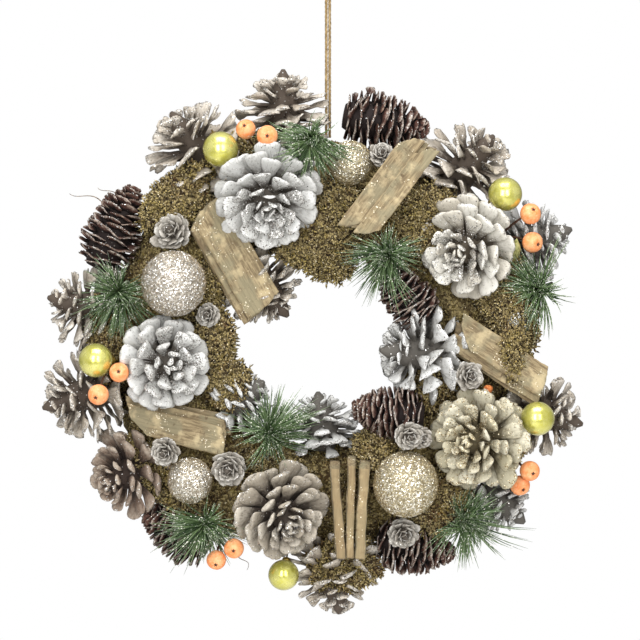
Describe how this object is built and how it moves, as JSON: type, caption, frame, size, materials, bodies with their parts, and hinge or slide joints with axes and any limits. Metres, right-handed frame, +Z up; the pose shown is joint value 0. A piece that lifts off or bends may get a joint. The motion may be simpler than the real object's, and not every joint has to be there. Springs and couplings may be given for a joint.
{
  "type": "pinecone wreath",
  "caption": "Round decorative wreath of frosted cones, bark, moss, baubles, berries and needle tufts on a flat-backed ring, hanging on a twine loop.",
  "frame": {"origin": "top of the twine loop, at its middle line's highest point", "axes": "+Z up, +Y towards the wall behind the flat back, -Y the decorated front, +X to the right as seen from the front"},
  "size_m": [0.339, 0.08, 0.4054],
  "materials": {
    "straw": "bound straw, dry and matt",
    "moss": "dry golden-olive moss with a little gold glitter",
    "twine": "natural jute",
    "open_cone": "white-washed scales with silver glitter",
    "frosted_cone": "grey-brown scales, frosted white",
    "dark_cone": "dark brown scales with a little glitter",
    "larch_cone": "grey frosted scales",
    "glitter": "champagne glitter all over",
    "pearl": "lime-green pearl gloss",
    "berry": "dusty orange, brown wire",
    "needles": "green needles with frosted tips",
    "bark": "khaki bark strips with rough edges"
  },
  "bodies": {
    "root": {"ring_base": "straw", "moss_bed": "moss", "hanging_twine": "twine", "open_cone_a": "open_cone", "open_cone_b": "open_cone", "open_cone_c": "open_cone", "open_cone_d": "open_cone", "open_cone_e": "open_cone", "open_cone_f": "open_cone", "frosted_cone_a": "frosted_cone", "frosted_cone_b": "frosted_cone", "frosted_cone_c": "frosted_cone", "frosted_cone_d": "frosted_cone", "frosted_cone_e": "frosted_cone", "frosted_cone_f": "frosted_cone", "frosted_cone_g": "frosted_cone", "frosted_cone_h": "frosted_cone", "frosted_cone_i": "frosted_cone", "frosted_cone_j": "frosted_cone", "frosted_cone_k": "frosted_cone", "frosted_cone_l": "frosted_cone", "dark_cone_a": "dark_cone", "dark_cone_b": "dark_cone", "dark_cone_c": "dark_cone", "dark_cone_d": "dark_cone", "dark_cone_e": "dark_cone", "dark_cone_f": "dark_cone", "larch_cone_a": "larch_cone", "larch_cone_b": "larch_cone", "larch_cone_c": "larch_cone", "larch_cone_d": "larch_cone", "larch_cone_e": "larch_cone", "larch_cone_f": "larch_cone", "glitter_ball_a": "glitter", "glitter_ball_b": "glitter", "glitter_ball_c": "glitter", "glitter_ball_d": "glitter", "glitter_ball_e": "glitter", "pearl_bauble_a": "pearl", "pearl_bauble_b": "pearl", "pearl_bauble_c": "pearl", "pearl_bauble_d": "pearl", "pearl_bauble_e": "pearl", "berry_sprig_a": "berry", "berry_sprig_b": "berry", "berry_sprig_c": "berry", "berry_sprig_d": "berry", "berry_sprig_e": "berry", "needle_tuft_a": "needles", "needle_tuft_b": "needles", "needle_tuft_c": "needles", "needle_tuft_d": "needles", "needle_tuft_e": "needles", "needle_tuft_f": "needles", "needle_tuft_g": "needles", "bark_bundle_a": "bark", "bark_bundle_b": "bark", "bark_bundle_c": "bark", "bark_bundle_d": "bark", "bark_bundle_e": "bark"}
  },
  "joints": []
}
